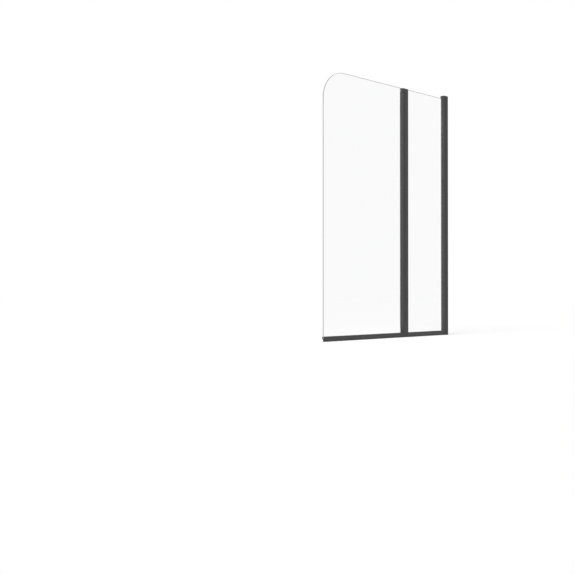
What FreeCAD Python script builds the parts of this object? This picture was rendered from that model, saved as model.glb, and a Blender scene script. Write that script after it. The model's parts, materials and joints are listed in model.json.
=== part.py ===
import FreeCAD, Part
import os
from math import sqrt
from FreeCAD import Vector

# Bath screen: a fixed glass panel in an adjustable wall channel, and a door panel on a pivot barrel.
# The wall face is the plane x = 0 and the screen runs from it towards -x. The glass lies in the plane y = 0,
# with the dry side at -y and the wet side at +y. The screen stands on the plane z = 0. Lengths are in mm.

# Overall sizes
screen_width = 1000.0  # wall face to the door glass's free edge
screen_height = 1403.5  # foot of the screen to the top of the wall channel's cap
hinge_from_wall = 393.5  # wall face to the door's pivot axis

# Glass panels
glass_top_drop = 17.0  # top of the wall channel's cap to the glass's top edge
glass_thick = 6.0
glass_arris = 1.5  # ground edge along both faces
door_corner_radius = 150.0
notch_radius = 2.0  # inner corners of the door glass's pivot notches

# Clearances
running_gap = 0.4  # curved faces that turn past each other
flat_gap = 0.3  # flat faces that slide or turn past each other
sweep_gap = 1.0  # a part that swings under another
glass_edge_gap = 0.5  # glass edge to the floor of its pocket
pin_running_fit = 0.05  # radial, pivot pin in its bush
seat_fit = 0.02  # radial or to each side, a piece pressed into its seat
screw_hole_gap = 0.15  # radial, screw shank in a clearance hole
overrun = 1.0  # how far a cut runs past the face it opens
touch = 0.001  # points closer than this are the same point

# Glazing gaskets
gasket_thick = 1.5
gasket_nose = 2.5  # how far the adjuster's dry-side gasket stands out of its pocket
pocket_depth = 12.0  # glass pockets of the adjuster and the post

# Wall channel and its cap
channel_width = 38.5
channel_depth = 25.5
channel_arm = 6.2  # hollow arms on both sides of the adjuster
channel_slant = 5.0  # corner by the glass that is cut off on the dry side
channel_wall = 1.8
channel_web = 2.0
profile_edge_radius = 0.8
wall_hole_dia = 5.5
wall_hole_count = 4
wall_hole_inset = 100.0
wall_cap_thick = 3.5
wall_cap_tongue_thick = 3.0
wall_cap_tongue_length = 12.0
wall_cap_edge_radius = 0.8

# Lock screws through the channel's wet side
lock_screw_from_glass = 10.0  # channel's mouth to the screws
lock_screw_dia = 4.0
lock_head_dia = 7.5
lock_head_height = 2.2
lock_screw_height_shares = (0.1, 0.5, 0.9)

# Adjuster profile
adjuster_back_gap = 2.0  # left behind the adjuster when it is right in
adjuster_wall = 1.4
adjuster_end_gap = 0.5

# Pivot barrel, pins and bushes
barrel_dia = 28.5
barrel_wall = 1.8
pin_dia = 6.0
pin_port_wall = 1.2
pin_engagement = 42.0
pin_end_gap = 0.5
pin_chamfer = 0.6
bush_dia = 9.0
bush_flange_dia = 18.0
bush_flange_thick = 1.2
bush_depth = 15.0
glass_notch_gap = 1.0  # door glass to the barrel's round, where the pivots stand

# Hinge post and its end pieces
hinge_top_drop = 1.5  # glass's top edge to the top of the hinge's cap
post_web = 8.5  # barrel's seat to the glass pocket
post_horn = 9.2  # pivot axis to the tips of the post's hollow side
post_wall = 1.8
end_block_height = 22.0  # cast blocks that close both ends of the hinge
end_block_edge_radius = 0.8
wiper_width = 3.0
wiper_depth = 1.4
cap_screw_dia = 3.0
cap_screw_spacing_share = 0.5  # of the rail's depth
cap_screw_bite = 18.0  # thread length in the post
cap_screw_port_wall = 1.2
cap_screw_head_dia = 5.6
cap_screw_head_height = 1.8
base_screw_head_height = 3.0
base_screw_grip = 14.0  # base thickness above the screw's head
base_shoe_thick = 3.0
base_shoe_inset = 0.5

# Cross recess of the screws
recess_width = 0.9
recess_length_share = 0.62
recess_depth_share = 0.6

# Bottom rails
rail_depth = 16.0
rail_height = 25.8  # foot of the screen to the rail's top
rail_web = 4.9  # seal groove to the glass slot
rail_leg = 8.5
rail_slope_top = 15.5
rail_slope_bottom = 7.5
rail_port_dia = 3.0
seal_groove_neck = 2.6
seal_groove_head = 5.2
seal_groove_neck_height = 1.6
seal_groove_head_height = 2.0
setting_block_thick = 2.0
setting_block_length = 40.0
setting_block_shares = (0.2, 0.8)
setting_block_side_gap = 1.2

# Bottom seals
seal_height = 5.0
seal_side_inset = 0.3
seal_base_thick = 1.5
seal_lip_root = 2.0
seal_lip_tip = 0.9
seal_groove_fit = 0.25

# End cap of the door rail
end_cap_setback = 1.0  # glass edge to the cap's outer face
end_cap_thick = 2.0
end_cap_slot_gap = 0.3
end_cap_foot_gap = 0.5
end_cap_peg_length = 10.0

# Places that follow from the sizes
axis_x = -hinge_from_wall
barrel_radius = barrel_dia / 2
seat_radius = barrel_radius + running_gap
pin_radius = pin_dia / 2
glass_half = glass_thick / 2
pocket_half = glass_half + gasket_thick
channel_top = screen_height - wall_cap_thick
channel_half = channel_depth / 2
channel_room_half = channel_half - channel_arm
slant_cover = channel_wall * (sqrt(2) - 1)  # keeps the arm's wall as thick behind the slant
arm_hollow_x = (-channel_width + channel_slant + slant_cover, -channel_web)
arm_hollow_y = (channel_room_half + channel_wall, channel_half - channel_wall)
lock_screw_x = -channel_width + lock_screw_from_glass
adjuster_half = channel_room_half - flat_gap
adjuster_x = (-channel_width, -channel_web - wall_cap_tongue_thick - adjuster_back_gap)
adjuster_z = (adjuster_end_gap, channel_top - adjuster_end_gap)
adjuster_pocket_floor = -channel_width + pocket_depth
wall_hole_pitch = (channel_top - 2 * wall_hole_inset) / (wall_hole_count - 1)
rail_half = rail_depth / 2
rail_leg_middle = rail_leg / 2 - rail_half
seal_groove_top = seal_height + seal_groove_neck_height + seal_groove_head_height
rail_port_height = seal_groove_top + rail_web / 2
rail_slot_floor = seal_groove_top + rail_web
glass_bottom = rail_slot_floor + setting_block_thick
glass_top = screen_height - glass_top_drop
hinge_top = glass_top - hinge_top_drop
base_block_bottom = rail_height + sweep_gap
post_left = axis_x + post_horn
post_pocket_floor = axis_x + seat_radius + post_web
post_right = post_pocket_floor + pocket_depth
post_z = (base_block_bottom + end_block_height, hinge_top - end_block_height)
stile_z = (post_z[0] + bush_flange_thick + flat_gap, post_z[1] - bush_flange_thick - flat_gap)
stile_slot_floor = axis_x - pin_radius - pin_port_wall
door_glass_right = stile_slot_floor - glass_edge_gap
notch_x = axis_x - barrel_radius - glass_notch_gap
cap_screw_x = axis_x + seat_radius + post_web / 2
cap_screw_y = rail_depth * cap_screw_spacing_share / 2
cap_screw_radius = cap_screw_dia / 2
fixed_glass_x = (post_pocket_floor + glass_edge_gap, adjuster_pocket_floor - glass_edge_gap)
fixed_rail_x = (post_right, -channel_width - flat_gap)
fixed_rail_gasket_x = (post_right + gasket_thick, -channel_width - gasket_nose - gasket_thick)
door_rail_x = (-screen_width + end_cap_setback + end_cap_thick, axis_x - rail_half)

RIGHT = Vector(1, 0, 0)
BACK = Vector(0, 1, 0)
UP = Vector(0, 0, 1)


def both(half):
    """Span that reaches equally far to both sides of zero."""
    return (-half, half)


def box(x_span, y_span, z_span):
    """Box between two ends along each axis."""
    sizes = [end - start for start, end in (x_span, y_span, z_span)]
    return Part.makeBox(*sizes, Vector(x_span[0], y_span[0], z_span[0]))


def rod(radius, x, y, z_span):
    """Upright cylinder."""
    return Part.makeCylinder(radius, z_span[1] - z_span[0], Vector(x, y, z_span[0]))


def longer(span):
    """Span that runs past both ends, for a cut."""
    return (span[0] - overrun, span[1] + overrun)


def runs_along(edge, direction):
    """True for a straight edge along one direction."""
    if len(edge.Vertexes) < 2:
        return False
    step = edge.Vertexes[1].Point - edge.Vertexes[0].Point
    return step.cross(direction).Length < touch and step.Length > touch


def soften(shape, direction, radius, place):
    """Round the edges along one direction whose first corner passes the test of place."""
    edges = [e for e in shape.Edges if runs_along(e, direction) and place(e.Vertexes[0].Point)]
    return shape.makeFillet(radius, edges)


def soften_rim(shape, height, radius):
    """Round the outline of a flat top at one height."""
    edges = [e for e in shape.Edges if all(abs(v.Z - height) < touch for v in e.Vertexes)]
    return shape.makeFillet(radius, edges)


def cross_recess(head_dia, head_height):
    """Cutter for a screw's cross recess, with its mouth at z = 0."""
    reach = head_dia * recess_length_share / 2
    depth = (-head_height * recess_depth_share, overrun)
    bar = box(both(reach), both(recess_width / 2), depth)
    return bar.fuse(box(both(recess_width / 2), both(reach), depth))


def pan_screw(shank_radius, length, head_dia, head_height):
    """Screw with a flat-bottomed head: the head stands on z = 0 and the shank hangs below it."""
    head = rod(head_dia / 2, 0, 0, (0, head_height))
    recess = cross_recess(head_dia, head_height).translated(UP * head_height)
    return head.fuse(rod(shank_radius, 0, 0, (-length, 0))).cut(recess)


def countersunk_screw(shank_radius, length, head_dia, head_height):
    """Screw whose conical head is flush with z = 0."""
    cone = Part.makeCone(shank_radius, head_dia / 2, head_height, Vector(0, 0, -head_height))
    screw = cone.fuse(rod(shank_radius, 0, 0, (-length, -head_height)))
    return screw.cut(cross_recess(head_dia, head_height))


def lock_screw_heights():
    return [channel_top * share for share in lock_screw_height_shares]


def wall_section(z_span):
    """Solid over the channel's whole outline, with the slanted corner on the dry side."""
    corners = [
        (0, -channel_half),
        (0, channel_half),
        (-channel_width, channel_half),
        (-channel_width, channel_slant - channel_half),
        (channel_slant - channel_width, -channel_half),
    ]
    points = [Vector(x, y, z_span[0]) for x, y in corners]
    solid = Part.Face(Part.makePolygon(points + points[:1])).extrude(UP * (z_span[1] - z_span[0]))
    return soften(solid, UP, profile_edge_radius, lambda corner: True)


def wall_channel():
    """U-section with hollow arms, screwed to the wall and open towards the glass, with lock screw holes."""
    z_span = (0, channel_top)
    cut_z = longer(z_span)
    shell = wall_section(z_span)
    shell = shell.cut(box((-channel_width - overrun, -channel_web), both(channel_room_half), cut_z))
    for side in (-1, 1):
        shell = shell.cut(box(arm_hollow_x, sorted(side * y for y in arm_hollow_y), cut_z))
    for index in range(wall_hole_count):
        height = wall_hole_inset + index * wall_hole_pitch
        start = Vector(-channel_web - overrun, 0, height)
        shell = shell.cut(Part.makeCylinder(wall_hole_dia / 2, channel_web + 2 * overrun, start, RIGHT))
    for height in lock_screw_heights():
        start = Vector(lock_screw_x, channel_room_half - overrun, height)
        radius = lock_screw_dia / 2 + seat_fit
        shell = shell.cut(Part.makeCylinder(radius, channel_arm + 2 * overrun, start, BACK))
    return shell


def wall_top_cap():
    """Cap that closes the channel's top, with a tongue behind the adjuster."""
    plate = soften_rim(wall_section((channel_top, screen_height)), screen_height, wall_cap_edge_radius)
    tongue_right = -channel_web - seat_fit
    tongue_x = (tongue_right - wall_cap_tongue_thick, tongue_right)
    tongue_y = both(channel_room_half - seat_fit)
    return plate.fuse(box(tongue_x, tongue_y, (channel_top - wall_cap_tongue_length, channel_top)))


def wall_lock_screws():
    """Screws that press on the adjuster once the screen stands upright."""
    length = channel_arm + flat_gap - seat_fit
    screw = pan_screw(lock_screw_dia / 2, length, lock_head_dia, lock_head_height)
    screw.rotate(Vector(), RIGHT, -90)
    places = [Vector(lock_screw_x, channel_half, height) for height in lock_screw_heights()]
    return Part.makeCompound([screw.translated(place) for place in places])


def adjuster_profile():
    """H-section that slides in the wall channel and holds the fixed glass."""
    body = box(adjuster_x, both(adjuster_half), adjuster_z)
    cut_z = longer(adjuster_z)
    room_x = (adjuster_pocket_floor + adjuster_wall, adjuster_x[1] + overrun)
    body = body.cut(box(room_x, both(adjuster_half - adjuster_wall), cut_z))
    return body.cut(box((adjuster_x[0] - overrun, adjuster_pocket_floor), both(pocket_half), cut_z))


def adjuster_top_plug():
    """Plug that fills the adjuster's pocket above the glass."""
    plug_x = (adjuster_x[0], adjuster_pocket_floor - seat_fit)
    return box(plug_x, both(pocket_half - seat_fit), (glass_top + glass_edge_gap, adjuster_z[1]))


def upright_gasket(floor_x, mouth_x, side, z_span):
    """Strip between the glass and one wall of an upright pocket, with a rounded bead at the mouth."""
    y_span = sorted((side * (glass_half + seat_fit), side * pocket_half))
    strip = box(sorted((floor_x, mouth_x)), y_span, z_span)
    bead = rod((y_span[1] - y_span[0]) / 2, mouth_x, sum(y_span) / 2, z_span)
    return strip.fuse(bead).removeSplitter()


def adjuster_gasket(side, nose):
    return upright_gasket(fixed_glass_x[1], adjuster_x[0] - nose, side, (glass_bottom, glass_top))


def post_gasket(side):
    return upright_gasket(fixed_glass_x[0], post_right, side, post_z)


def stile_gasket(side):
    """Strip in the barrel's slot, whose bead stays inside the barrel's round."""
    bead_reach = sqrt((barrel_radius - gasket_thick / 2) ** 2 - (pocket_half - gasket_thick / 2) ** 2)
    return upright_gasket(door_glass_right, axis_x - bead_reach, side, stile_z)


def eased_glass(outline):
    """Pane over an outline in the plane y = 0, with a ground arris along both faces."""
    pane = Part.Face(outline).extrude(BACK * glass_thick).translated(BACK * -glass_half)
    rim = [e for e in pane.Edges if not runs_along(e, BACK)]
    return pane.makeChamfer(glass_arris, rim)


def fixed_glass():
    left, right = fixed_glass_x
    corners = [(left, glass_bottom), (right, glass_bottom), (right, glass_top), (left, glass_top)]
    points = [Vector(x, 0, z) for x, z in corners]
    return eased_glass(Part.makePolygon(points + points[:1]))


def quarter_arc(start, corner, end):
    """Quarter circle from start to end that is tangent to both sides of their corner."""
    centre = start + end - corner
    middle = centre + (corner - centre) * sqrt(1 / 2)
    return Part.Arc(start, middle, end).toShape()


def door_glass():
    """Pane with a large round upper outer corner and a notch at each end of the barrel."""
    left = -screen_width
    low_step = stile_z[0] + glass_edge_gap
    high_step = stile_z[1] - glass_edge_gap
    outer = door_corner_radius
    inner = notch_radius

    def at(x, z):
        return Vector(x, 0, z)

    straight_runs = [
        (at(left, glass_top - outer), at(left, glass_bottom)),
        (at(left, glass_bottom), at(notch_x, glass_bottom)),
        (at(notch_x, glass_bottom), at(notch_x, low_step - inner)),
        (at(notch_x + inner, low_step), at(door_glass_right, low_step)),
        (at(door_glass_right, low_step), at(door_glass_right, high_step)),
        (at(door_glass_right, high_step), at(notch_x + inner, high_step)),
        (at(notch_x, high_step + inner), at(notch_x, glass_top)),
        (at(notch_x, glass_top), at(left + outer, glass_top)),
    ]
    edges = [Part.LineSegment(start, end).toShape() for start, end in straight_runs]
    edges.append(quarter_arc(at(left + outer, glass_top), at(left, glass_top), at(left, glass_top - outer)))
    for step, way in ((low_step, -inner), (high_step, inner)):
        edges.append(quarter_arc(at(notch_x, step + way), at(notch_x, step), at(notch_x + inner, step)))
    return eased_glass(Part.Wire(Part.__sortEdges__(edges)))


def cap_screw_places():
    return [(cap_screw_x, side * cap_screw_y) for side in (-1, 1)]


def hinge_post():
    """Hollow extrusion that holds the fixed glass and wraps the barrel's side."""
    cut_z = longer(post_z)
    room = box((post_left, post_right - post_wall), both(barrel_radius - post_wall), cut_z)
    room = room.cut(rod(seat_radius + post_wall, axis_x, 0, cut_z))
    pocket_walls = both(pocket_half + post_wall)
    room = room.cut(box((post_pocket_floor - post_wall, post_right), pocket_walls, cut_z))
    wiper_floor = axis_x + seat_radius + wiper_depth
    wiper_walls = both(wiper_width / 2 + post_wall)
    room = room.cut(box((axis_x, wiper_floor + post_wall), wiper_walls, cut_z))
    post = box((post_left, post_right), both(barrel_radius), post_z)
    post = soften(post, UP, profile_edge_radius, lambda corner: True)
    post = post.cut(rod(seat_radius, axis_x, 0, cut_z))
    post = post.cut(box((post_pocket_floor, post_right + overrun), both(pocket_half), cut_z))
    for x, y in cap_screw_places():
        room = room.cut(rod(cap_screw_radius + cap_screw_port_wall, x, y, cut_z))
        post = post.cut(rod(cap_screw_radius + seat_fit, x, y, cut_z))
    post = post.cut(box((axis_x, wiper_floor), both(wiper_width / 2), cut_z))
    return post.cut(room)


def post_wiper():
    """Rubber strip in the post's hollow that keeps water from passing the barrel."""
    strip_x = (axis_x + barrel_radius + flat_gap, axis_x + seat_radius + wiper_depth - seat_fit)
    return box(strip_x, both(wiper_width / 2 - seat_fit), post_z)


def end_block(z_span):
    """Solid end of the hinge: round over the barrel and square on the glass side."""
    block = box((axis_x, post_right), both(barrel_radius), z_span)
    block = block.fuse(rod(barrel_radius, axis_x, 0, z_span)).removeSplitter()
    return soften(block, UP, profile_edge_radius, lambda corner: corner.x > post_right - touch)


def hinge_top_cap():
    """Cast cap on the post that reaches over the barrel and carries the upper bush."""
    cap_z = (post_z[1], hinge_top)
    cap = soften_rim(end_block(cap_z), hinge_top, end_block_edge_radius)
    cap = cap.cut(box((post_pocket_floor, post_right + overrun), both(pocket_half), longer(cap_z)))
    cap = cap.cut(rod(bush_dia / 2 + seat_fit, axis_x, 0, (post_z[1] - overrun, post_z[1] + bush_depth)))
    for x, y in cap_screw_places():
        cap = cap.cut(rod(cap_screw_radius + screw_hole_gap, x, y, longer(cap_z)))
        sink_base = Vector(x, y, hinge_top - cap_screw_head_height)
        sink_radii = (cap_screw_radius + screw_hole_gap, cap_screw_head_dia / 2 + seat_fit)
        cap = cap.cut(Part.makeCone(*sink_radii, cap_screw_head_height, sink_base))
    return cap


def top_cap_screws():
    length = end_block_height + cap_screw_bite
    screw = countersunk_screw(cap_screw_radius, length, cap_screw_head_dia, cap_screw_head_height)
    return Part.makeCompound([screw.translated(Vector(x, y, hinge_top)) for x, y in cap_screw_places()])


def hinge_foot(inset, z_span):
    """Foot in line with the rails: round towards the door, square towards the fixed rail."""
    sides = both(rail_half - inset)
    nose = rod(barrel_radius - inset, axis_x, 0, z_span)
    nose = nose.common(box(longer((axis_x - barrel_radius, axis_x)), sides, z_span))
    return nose.fuse(box((axis_x, post_right), sides, z_span)).removeSplitter()


def hinge_base():
    """Cast foot under the post and the barrel that carries the lower bush."""
    base = hinge_foot(0, (base_shoe_thick, base_block_bottom)).fuse(end_block((base_block_bottom, post_z[0])))
    pocket_z = (rail_slot_floor, post_z[0] + overrun)
    base = base.cut(box((post_pocket_floor, post_right + overrun), both(pocket_half), pocket_z))
    base = base.cut(rod(bush_dia / 2 + seat_fit, axis_x, 0, (post_z[0] - bush_depth, post_z[0] + overrun)))
    head_z = (base_shoe_thick - overrun, post_z[0] - base_screw_grip)
    for x, y in cap_screw_places():
        base = base.cut(rod(cap_screw_radius + screw_hole_gap, x, y, longer((base_shoe_thick, post_z[0]))))
        base = base.cut(rod(cap_screw_head_dia / 2 + screw_hole_gap, x, y, head_z))
    return base


def base_screws():
    """Screws from below, with their heads deep in the base."""
    length = base_screw_grip + cap_screw_bite
    screw = pan_screw(cap_screw_radius, length, cap_screw_head_dia, base_screw_head_height)
    screw.rotate(Vector(), RIGHT, 180)
    seat = post_z[0] - base_screw_grip
    return Part.makeCompound([screw.translated(Vector(x, y, seat)) for x, y in cap_screw_places()])


def hinge_base_shoe():
    """Rubber shoe that the hinge base stands on."""
    return hinge_foot(base_shoe_inset, (0, base_shoe_thick))


def bush(face, way):
    """Flanged plain bearing on the pivot axis, whose flange lies on a face and whose body goes in from it."""
    body_z = sorted((face, face + way * bush_depth))
    flange_z = sorted((face - way * bush_flange_thick, face))
    body = rod(bush_dia / 2, axis_x, 0, body_z).fuse(rod(bush_flange_dia / 2, axis_x, 0, flange_z))
    ends = longer((min(body_z + flange_z), max(body_z + flange_z)))
    return body.cut(rod(pin_radius + pin_running_fit, axis_x, 0, ends)).removeSplitter()


def pivot_pin(z_span):
    """Pin with chamfered ends on the pivot axis."""
    pin = rod(pin_radius, axis_x, 0, z_span)
    rims = [e for e in pin.Edges if len(e.Vertexes) < 2]
    return pin.makeChamfer(pin_chamfer, rims)


def top_pin():
    return pivot_pin((stile_z[1] - pin_engagement, post_z[1] + bush_depth - pin_end_gap))


def bottom_pin():
    return pivot_pin((post_z[0] - bush_depth + pin_end_gap, stile_z[0] + pin_engagement))


def door_stile():
    """Hollow round extrusion with a slot for the door glass and a bore for the pivot pins."""
    cut_z = longer(stile_z)
    room = rod(barrel_radius - barrel_wall, axis_x, 0, cut_z)
    slot_walls = both(pocket_half + barrel_wall)
    room = room.cut(box((axis_x - barrel_radius, axis_x), slot_walls, cut_z))
    room = room.cut(rod(pin_radius + pin_port_wall, axis_x, 0, cut_z))
    stile = rod(barrel_radius, axis_x, 0, stile_z).cut(room)
    stile = stile.cut(box((axis_x - barrel_radius - overrun, stile_slot_floor), both(pocket_half), cut_z))
    return stile.cut(rod(pin_radius + seat_fit, axis_x, 0, cut_z))


def rail_body(x_span, foot):
    """Rail outline along x: full depth above, sloped back on the wet side to a narrow leg."""
    front = -rail_half
    leg_back = front + rail_leg
    corners = [
        (front, foot),
        (front, rail_height),
        (rail_half, rail_height),
        (rail_half, rail_slope_top),
        (leg_back, rail_slope_bottom),
        (leg_back, foot),
    ]
    points = [Vector(x_span[0], y, z) for y, z in corners]
    body = Part.Face(Part.makePolygon(points + points[:1])).extrude(RIGHT * (x_span[1] - x_span[0]))
    return soften(body, RIGHT, profile_edge_radius, lambda corner: corner.z > rail_height - touch)


def rail(x_span):
    """Extrusion with a glass slot above, a port for an end peg and a groove for the seal below."""
    cut_x = longer(x_span)
    body = rail_body(x_span, seal_height)
    body = body.cut(box(cut_x, both(pocket_half), (rail_slot_floor, rail_height + overrun)))
    neck_top = seal_height + seal_groove_neck_height
    for width, z_span in (
        (seal_groove_neck, (seal_height - overrun, neck_top)),
        (seal_groove_head, (neck_top, seal_groove_top)),
    ):
        y_span = (rail_leg_middle - width / 2, rail_leg_middle + width / 2)
        body = body.cut(box(cut_x, y_span, z_span))
    port_start = Vector(cut_x[0], rail_leg_middle, rail_port_height)
    return body.cut(Part.makeCylinder(rail_port_dia / 2, cut_x[1] - cut_x[0], port_start, RIGHT))


def rail_gasket(side, x_span):
    """Strip between the glass and one wall of a rail's slot, with a rounded top level with the rail's."""
    y_span = sorted((side * (glass_half + seat_fit), side * pocket_half))
    bead_radius = (y_span[1] - y_span[0]) / 2
    bead_height = rail_height - bead_radius
    strip = box(x_span, y_span, (glass_bottom, bead_height))
    bead_start = Vector(x_span[0], sum(y_span) / 2, bead_height)
    bead = Part.makeCylinder(bead_radius, x_span[1] - x_span[0], bead_start, RIGHT)
    return strip.fuse(bead).removeSplitter()


def seal(x_span):
    """Rubber strip whose head sits in the rail's groove and whose two lips stand on the plane z = 0."""
    half_base = rail_leg / 2 - seal_side_inset
    half_neck = seal_groove_neck / 2 - seal_groove_fit
    half_head = seal_groove_head / 2 - seal_groove_fit
    head_bottom = seal_height + seal_groove_neck_height + seal_groove_fit
    head_top = seal_groove_top - seal_groove_fit
    base_bottom = seal_height - seal_base_thick
    half_outline = [
        (half_head, head_top),
        (half_head, head_bottom),
        (half_neck, head_bottom),
        (half_neck, seal_height),
        (half_base, seal_height),
        (half_base, 0),
        (half_base - seal_lip_tip, 0),
        (half_base - seal_lip_root, base_bottom),
    ]
    outline = half_outline + [(-y, z) for y, z in reversed(half_outline)]
    points = [Vector(x_span[0], rail_leg_middle + y, z) for y, z in outline]
    return Part.Face(Part.makePolygon(points + points[:1])).extrude(RIGHT * (x_span[1] - x_span[0]))


def setting_blocks(x_span):
    """Small blocks in the rail that the glass stands on."""
    length = x_span[1] - x_span[0]
    middles = [x_span[0] + length * share for share in setting_block_shares]
    half = setting_block_length / 2
    y_span = both(pocket_half - setting_block_side_gap)
    z_span = (rail_slot_floor, glass_bottom)
    return Part.makeCompound([box((middle - half, middle + half), y_span, z_span) for middle in middles])


def clear_of_base(shape):
    """Hollow the hinge end of a door piece, so that it swings round the hinge base."""
    return shape.cut(rod(seat_radius, axis_x, 0, longer((0, rail_height))))


def door_rail_end_cap():
    """Cap on the free end of the door rail, slotted for the glass, with a peg in the rail's port."""
    cap_x = (door_rail_x[0] - end_cap_thick, door_rail_x[0])
    slot_half = glass_half + end_cap_slot_gap
    slot_z = (glass_bottom - end_cap_slot_gap, rail_height + overrun)
    cap = rail_body(cap_x, end_cap_foot_gap).cut(box(longer(cap_x), both(slot_half), slot_z))
    peg_start = Vector(cap_x[1], rail_leg_middle, rail_port_height)
    peg_radius = rail_port_dia / 2 - seat_fit
    return cap.fuse(Part.makeCylinder(peg_radius, end_cap_peg_length, peg_start, RIGHT))


pieces = {
    "wall_channel": wall_channel(),
    "wall_top_cap": wall_top_cap(),
    "wall_lock_screws": wall_lock_screws(),
    "adjuster_profile": adjuster_profile(),
    "adjuster_top_plug": adjuster_top_plug(),
    "adjuster_gasket_front": adjuster_gasket(-1, gasket_nose),
    "adjuster_gasket_back": adjuster_gasket(1, 0),
    "fixed_glass": fixed_glass(),
    "hinge_post": hinge_post(),
    "post_gasket_front": post_gasket(-1),
    "post_gasket_back": post_gasket(1),
    "post_wiper": post_wiper(),
    "hinge_top_cap": hinge_top_cap(),
    "top_cap_screws": top_cap_screws(),
    "top_bush": bush(post_z[1], 1),
    "hinge_base": hinge_base(),
    "base_screws": base_screws(),
    "hinge_base_shoe": hinge_base_shoe(),
    "bottom_bush": bush(post_z[0], -1),
    "fixed_rail": rail(fixed_rail_x),
    "fixed_rail_gasket_front": rail_gasket(-1, fixed_rail_gasket_x),
    "fixed_rail_gasket_back": rail_gasket(1, fixed_rail_gasket_x),
    "fixed_seal": seal(fixed_rail_x),
    "fixed_setting_blocks": setting_blocks(fixed_rail_x),
    "door_stile": door_stile(),
    "stile_gasket_front": stile_gasket(-1),
    "stile_gasket_back": stile_gasket(1),
    "door_glass": door_glass(),
    "top_pin": top_pin(),
    "bottom_pin": bottom_pin(),
    "door_rail": clear_of_base(rail(door_rail_x)),
    "door_rail_gasket_front": clear_of_base(rail_gasket(-1, door_rail_x)),
    "door_rail_gasket_back": clear_of_base(rail_gasket(1, door_rail_x)),
    "door_seal": clear_of_base(seal(door_rail_x)),
    "door_setting_blocks": setting_blocks(door_rail_x),
    "door_rail_end_cap": door_rail_end_cap(),
}

os.makedirs("parts", exist_ok=True)
for name, shape in pieces.items():
    shape.exportStep(f"parts/{name}.step")
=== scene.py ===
import json
from math import radians

import bpy
from mathutils import Euler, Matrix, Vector

# Bath screen on a pale studio floor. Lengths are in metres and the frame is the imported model's own: the wall
# face is x = 0, the dry side is at -y and the wet side at +y, and the screen stands on the plane z = 0.

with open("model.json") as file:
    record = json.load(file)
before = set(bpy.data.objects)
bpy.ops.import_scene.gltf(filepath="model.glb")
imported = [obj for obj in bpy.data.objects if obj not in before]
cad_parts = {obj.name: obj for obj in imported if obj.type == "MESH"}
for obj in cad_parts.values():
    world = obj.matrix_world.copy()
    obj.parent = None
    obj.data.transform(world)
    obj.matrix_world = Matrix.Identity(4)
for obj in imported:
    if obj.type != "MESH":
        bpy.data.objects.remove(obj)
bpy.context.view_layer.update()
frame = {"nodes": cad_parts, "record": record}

# Camera
camera_place = Vector((-3.6989, -2.8603, 0.2557))
camera_turn = radians(40.685)  # from straight along +y towards +x
camera_tilt = radians(0.314)  # above level
camera_lens = 48.704  # mm, like the sensor
camera_sensor = 36.0

# Studio
floor_side = 40.0
floor_drop = 0.0004  # below the seals' lips
floor_colour = (0.80, 0.80, 0.80, 1)
floor_lift = 0.255  # light of its own that brings the bare floor up to white
sky_white = 1.0  # as seen by the camera, and in gloss and glass
sky_light = 0.50  # as it lights the object
key_light = 2.38
key_turn = radians(-72)  # from straight along +y: it shines from the screen's free end
key_height = radians(35)
key_spread = radians(45)

# Tones of the finishes, from the darkest to the lightest
upright_coat_tones = (0.0426, 0.0614)
# Painted light: the rails' coat is a lighter copy of the uprights', as if more light fell on the rails
rail_coat_painted_light_tones = (0.0459, 0.0661)
# Painted light: the wall channel and its adjuster take lighter copies of the coat, which lift the shaded mouth
# of the channel
channel_painted_light_tones = (0.0555, 0.0800)
adjuster_painted_light_tones = (0.0725, 0.1045)
casting_tones = (0.026, 0.034)
rubber_tones = (0.038, 0.052)
# Painted light: a lighter copy of the rubber for the wall channel's gaskets, to lift the shade in the
# channel's mouth
gasket_painted_light_tones = (0.070, 0.095)
nylon_tones = (0.018, 0.026)
steel_tints = ((0.54, 0.53, 0.51, 1), (0.66, 0.65, 0.63, 1))

# Gloss of the powder coats
satin = 0.25
dead_matt = 0.03

# Lines that a die leaves along a strip: how many to the metre along each axis
upright_coat_lines = (900, 900, 3)
rail_coat_lines = (3, 900, 900)
upright_rubber_lines = (1300, 1300, 5)
rail_rubber_lines = (5, 1300, 1300)
drawing_lines = (3200, 3200, 160)

# Glass
pane_tint = (0.949, 0.952, 0.9505, 1)  # what passes through the pane
glass_bend = 1.5
face_limit = 0.9  # how squarely a surface looks across the pane, to count as its face
lamp_pass = 0.96  # share of a lamp's light that each face lets through
roller_wave = (0.8, 1, 3.2)  # of the furnace, to the metre along each axis
# Painted shade: the edges' greys stand for the light lost inside the pane, over the ground edge's pale satin
upright_edge_satin_and_shade_tints = ((0.28, 0.286, 0.284, 1), (0.37, 0.377, 0.375, 1))
level_edge_painted_reflection_tints = ((0.085, 0.088, 0.087, 1), (0.12, 0.124, 0.123, 1))  # painted dark reflection: the pane's depth shows in them


class Value:
    """One socket in a node tree. Arithmetic on it adds Math nodes."""

    def __init__(self, shader, socket):
        self.shader = shader
        self.socket = socket

    def sum_with(self, operation, first, second):
        return self.shader.add("ShaderNodeMath", {"operation": operation}, {0: first, 1: second})

    def __add__(self, other):
        return self.sum_with("ADD", self, other)

    def __radd__(self, other):
        return self.sum_with("ADD", other, self)

    def __sub__(self, other):
        return self.sum_with("SUBTRACT", self, other)

    def __rsub__(self, other):
        return self.sum_with("SUBTRACT", other, self)

    def __mul__(self, other):
        return self.sum_with("MULTIPLY", self, other)

    def __rmul__(self, other):
        return self.sum_with("MULTIPLY", other, self)

    def __abs__(self):
        return self.shader.add("ShaderNodeMath", {"operation": "ABSOLUTE"}, {0: self})

    def __gt__(self, other):
        return self.sum_with("GREATER_THAN", self, other)

    def about(self, middle, width):
        """Turn a noise from 0 to 1 into a number that wanders about a middle, over a width."""
        return middle + width * (self - 0.5)


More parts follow.
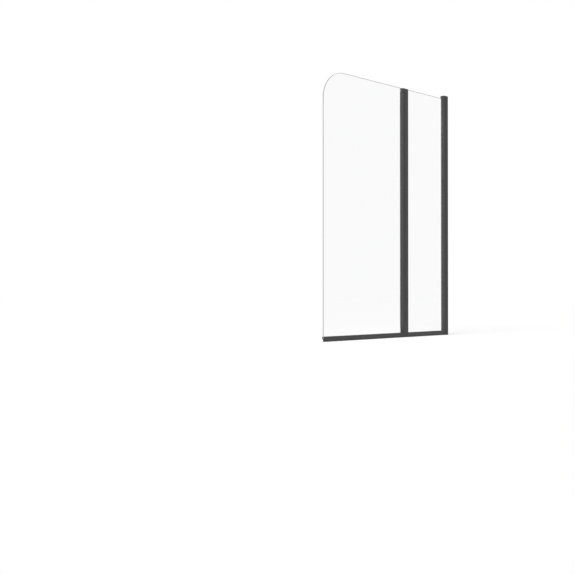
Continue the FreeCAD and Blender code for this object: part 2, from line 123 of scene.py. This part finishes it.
class Shader:
    """Node tree of a material or of the world."""

    def __init__(self, owner):
        owner.use_nodes = True
        self.owner = owner
        self.tree = owner.node_tree
        self.tree.nodes.clear()

    def add(self, kind, settings=None, sockets=None, out=0):
        """Make a node, set it up, feed its sockets with values or links, and give one of its outputs."""
        node = self.tree.nodes.new(kind)
        for name, value in (settings or {}).items():
            setattr(node, name, value)
        for name, value in (sockets or {}).items():
            if isinstance(value, Value):
                self.tree.links.new(value.socket, node.inputs[name])
            else:
                node.inputs[name].default_value = value
        return Value(self, node.outputs[out])

    def showing(self, surface, output="ShaderNodeOutputMaterial"):
        """Give the material or the world, with this as its surface."""
        node = self.tree.nodes.new(output)
        self.tree.links.new(surface.socket, node.inputs["Surface"])
        return self.owner

    def place(self):
        return self.add("ShaderNodeTexCoord", out="Object")

    def facing(self, axis):
        """How squarely the surface looks along one axis of the object, either way."""
        normal = self.add("ShaderNodeTexCoord", out="Normal")
        return abs(self.add("ShaderNodeSeparateXYZ", None, {0: normal}, axis))

    def noise(self, scale, detail):
        sockets = {"Vector": self.place(), "Scale": scale, "Detail": detail}
        return self.add("ShaderNodeTexNoise", None, sockets)

    def streaks(self, counts, detail):
        """Noise that is drawn out: counts are how many to the metre along each axis."""
        drawn = self.add("ShaderNodeVectorMath", {"operation": "MULTIPLY"}, {0: self.place(), 1: counts})
        sockets = {"Vector": drawn, "Scale": 1, "Detail": detail}
        return self.add("ShaderNodeTexNoise", None, sockets)

    def blend(self, factor, first, second):
        """Colour between two colours."""
        sockets = {"Factor": factor, 6: first, 7: second}
        return self.add("ShaderNodeMix", {"data_type": "RGBA"}, sockets, 2)

    def bump(self, height, depth, strength):
        sockets = {"Height": height, "Distance": depth, "Strength": strength}
        return self.add("ShaderNodeBump", None, sockets)

    def solid(self, colour, rough, gloss, normal, metal=0):
        """Surface that no light passes."""
        sockets = {
            "Base Color": colour,
            "Metallic": metal,
            "Roughness": rough,
            "Specular IOR Level": gloss,
            "Normal": normal,
        }
        return self.add("ShaderNodeBsdfPrincipled", None, sockets)

    def mix(self, factor, first, second):
        """Surface between two surfaces."""
        return self.add("ShaderNodeMixShader", None, {0: factor, 1: first, 2: second})


def grey(level):
    return (level, level, level, 1)


def material(name):
    return Shader(bpy.data.materials.new(name))


def powder_coat(name, tones, gloss, die_lines):
    """Black powder coat with a fine grain, over extrusion lines that run along the profile."""
    shader = material(name)
    grain = shader.noise(scale=2600, detail=3)
    cloud = shader.noise(scale=7, detail=3)
    lines = shader.streaks(die_lines, detail=2)
    colour = shader.blend(0.55 * cloud + 0.45 * grain, *map(grey, tones))
    rough = grain.about(0.46, 0.10) + lines.about(0, 0.06) + cloud.about(0, 0.06)
    relief = shader.bump(grain + 0.35 * lines, depth=0.00004, strength=0.5)
    return shader.showing(shader.solid(colour, rough, gloss, relief))


def cast_coat():
    """Black coat on cast metal: a little glossier, with the soft unevenness of a casting under it."""
    shader = material("coated_casting")
    grain = shader.noise(scale=1900, detail=3)
    peel = shader.noise(scale=420, detail=2)
    colour = shader.blend(grain, *map(grey, casting_tones))
    rough = grain.about(0.40, 0.10) + peel.about(0, 0.08)
    relief = shader.bump(grain + 1.6 * peel, depth=0.00006, strength=0.5)
    return shader.showing(shader.solid(colour, rough, gloss=0.42, normal=relief))


def rubber(name, tones, die_lines):
    """Soft black rubber with drawn lines along the strip and a faint pale bloom."""
    shader = material(name)
    lines = shader.streaks(die_lines, detail=2)
    bloom = shader.noise(scale=34, detail=4)
    colour = shader.blend(bloom, *map(grey, tones))
    rough = bloom.about(0.66, 0.16) + lines.about(0, 0.08)
    relief = shader.bump(lines + 0.4 * bloom, depth=0.00005, strength=0.6)
    return shader.showing(shader.solid(colour, rough, gloss=0.35, normal=relief))


def black_nylon():
    """Moulded nylon with a spark-eroded grain."""
    shader = material("moulded_nylon")
    grain = shader.noise(scale=1500, detail=4)
    flow = shader.noise(scale=60, detail=2)
    colour = shader.blend(flow, *map(grey, nylon_tones))
    rough = grain.about(0.50, 0.16) + flow.about(0, 0.08)
    relief = shader.bump(grain, depth=0.00006, strength=0.6)
    return shader.showing(shader.solid(colour, rough, gloss=0.45, normal=relief))


def stainless():
    """Drawn stainless steel of the pins and screws."""
    shader = material("drawn_stainless")
    marks = shader.streaks(drawing_lines, detail=3)
    cloud = shader.noise(scale=300, detail=2)
    colour = shader.blend(cloud, *steel_tints)
    rough = marks.about(0.28, 0.16) + cloud.about(0, 0.08)
    relief = shader.bump(marks, depth=0.00002, strength=0.5)
    return shader.showing(shader.solid(colour, rough, gloss=0.5, normal=relief, metal=1))


def pane(shader):
    """Clear face with the faint roller wave of the furnace, which lets the lamps' light through."""
    wave = shader.streaks(roller_wave, detail=1)
    smear = shader.noise(scale=9, detail=3)
    sockets = {
        "Base Color": pane_tint,
        "Roughness": smear.about(0.004, 0.004),
        "IOR": glass_bend,
        "Transmission Weight": 1,
        "Normal": shader.bump(wave, depth=0.0003, strength=0.1),
    }
    seen = shader.add("ShaderNodeBsdfPrincipled", None, sockets)
    lit = shader.add("ShaderNodeBsdfTransparent", None, {"Color": grey(lamp_pass)})
    lamp_ray = shader.add("ShaderNodeLightPath", out="Is Shadow Ray")
    return shader.mix(lamp_ray, seen, lit)


def ground_edge_and_painted_shade(shader):
    """Satin ground edge, greyed with painted shade, and darker with painted reflection where it lies level."""
    ground = shader.noise(scale=1400, detail=3)
    upright = shader.blend(ground, *upright_edge_satin_and_shade_tints)
    level = shader.blend(ground, *level_edge_painted_reflection_tints)
    # painted reflection: the level edges take the darker tints
    colour = shader.blend(shader.facing("Z"), upright, level)
    relief = shader.bump(ground, depth=0.00002, strength=0.5)
    return shader.solid(colour, ground.about(0.40, 0.20), gloss=0.3, normal=relief)


def clear_glass():
    """Toughened glass with ground edges."""
    shader = material("toughened_glass")
    face = shader.facing("Y") > face_limit
    return shader.showing(shader.mix(face, ground_edge_and_painted_shade(shader), pane(shader)))


def dress(by_slot, by_node):
    """Give each node of the frame its own finish, or else that of its material slot.

    A pair is for uprights and for rails; the rails' coat is a lighter copy with painted light.
    """
    # Painted light: by_node gives the wall channel's nodes their lighter copies of the finishes
    for part in frame["record"]["subparts"]:
        finish = by_node.get(part["node"], by_slot[part["material_slot"]])
        if isinstance(finish, tuple):
            finish = finish["rail" in part["node"] or "seal" in part["node"]]
        slots = frame["nodes"][part["node"]].data.materials
        slots.clear()
        slots.append(finish)


def seen_directly(shader):
    """1 for what the camera, gloss or glass shows, and 0 for light that falls on a surface."""
    rays = ("Is Camera Ray", "Is Glossy Ray", "Is Transmission Ray")
    camera, gloss, glass = (shader.add("ShaderNodeLightPath", out=ray) for ray in rays)
    return 1 - (1 - camera) * (1 - gloss) * (1 - glass)


def in_scene(name, data):
    """New object in the scene."""
    made = bpy.data.objects.new(name, data)
    bpy.context.scene.collection.objects.link(made)
    return made


def studio_floor():
    """Pale floor that shows as white and keeps the object's shadow."""
    half = floor_side / 2
    corners = [(-half, -half), (half, -half), (half, half), (-half, half)]
    mesh = bpy.data.meshes.new("studio_floor")
    mesh.from_pydata([(x, y, -floor_drop) for x, y in corners], [], [range(len(corners))])
    shader = material("studio_floor")
    paint = shader.add("ShaderNodeBsdfDiffuse", None, {"Color": floor_colour})
    lift = shader.add("ShaderNodeEmission", None, {"Color": grey(1), "Strength": floor_lift})
    lifted = shader.add("ShaderNodeAddShader", None, {0: paint, 1: lift})
    mesh.materials.append(shader.showing(shader.mix(seen_directly(shader), paint, lifted)))
    in_scene("studio_floor", mesh)


def studio_sky():
    """White all round, at a plain level where it lights the object."""
    shader = Shader(bpy.data.worlds.new("studio_sky"))
    strength = sky_light + (sky_white - sky_light) * seen_directly(shader)
    sky = shader.add("ShaderNodeBackground", None, {"Color": grey(1), "Strength": strength})
    bpy.context.scene.world = shader.showing(sky, "ShaderNodeOutputWorld")


def studio_lamp():
    """Distant soft lamp."""
    lamp = bpy.data.lights.new("key_lamp", "SUN")
    lamp.energy = key_light
    lamp.angle = key_spread
    in_scene("key_lamp", lamp).rotation_euler = Euler((radians(90) - key_height, 0, key_turn))


def studio_camera():
    lens = bpy.data.cameras.new("camera")
    lens.lens = camera_lens
    lens.sensor_width = camera_sensor
    camera = in_scene("camera", lens)
    camera.location = camera_place
    camera.rotation_euler = Euler((radians(90) + camera_tilt, 0, -camera_turn))
    bpy.context.scene.camera = camera


slot_finishes = {
    "black_profile": (
        powder_coat("black_profile_upright", upright_coat_tones, satin, upright_coat_lines),
        # painted light: the rails take a lighter copy of the coat
        powder_coat("black_profile_rail_painted_light", rail_coat_painted_light_tones, satin, rail_coat_lines),
    ),
    "black_casting": cast_coat(),
    "black_rubber": (
        rubber("black_rubber_upright", rubber_tones, upright_rubber_lines),
        rubber("black_rubber_rail", rubber_tones, rail_rubber_lines),
    ),
    "black_nylon": black_nylon(),
    "stainless_steel": stainless(),
    "clear_glass": clear_glass(),
}
# Painted light: lighter copies of the coat and rubber for the wall channel, its adjuster and their gaskets,
# which lift the shaded mouth of the channel
painted_light_gasket_rubber = rubber("black_rubber_wall_painted_light", gasket_painted_light_tones, upright_rubber_lines)
wall_painted_light_finishes = {
    "wall_channel": powder_coat("black_channel_painted_light", channel_painted_light_tones, dead_matt, upright_coat_lines),
    "adjuster_profile": powder_coat("black_adjuster_painted_light", adjuster_painted_light_tones, dead_matt, upright_coat_lines),
    "adjuster_gasket_front": painted_light_gasket_rubber,
    "adjuster_gasket_back": painted_light_gasket_rubber,
}
dress(slot_finishes, wall_painted_light_finishes)
studio_floor()
studio_sky()
studio_lamp()
studio_camera()
bpy.context.scene.view_settings.view_transform = "Standard"
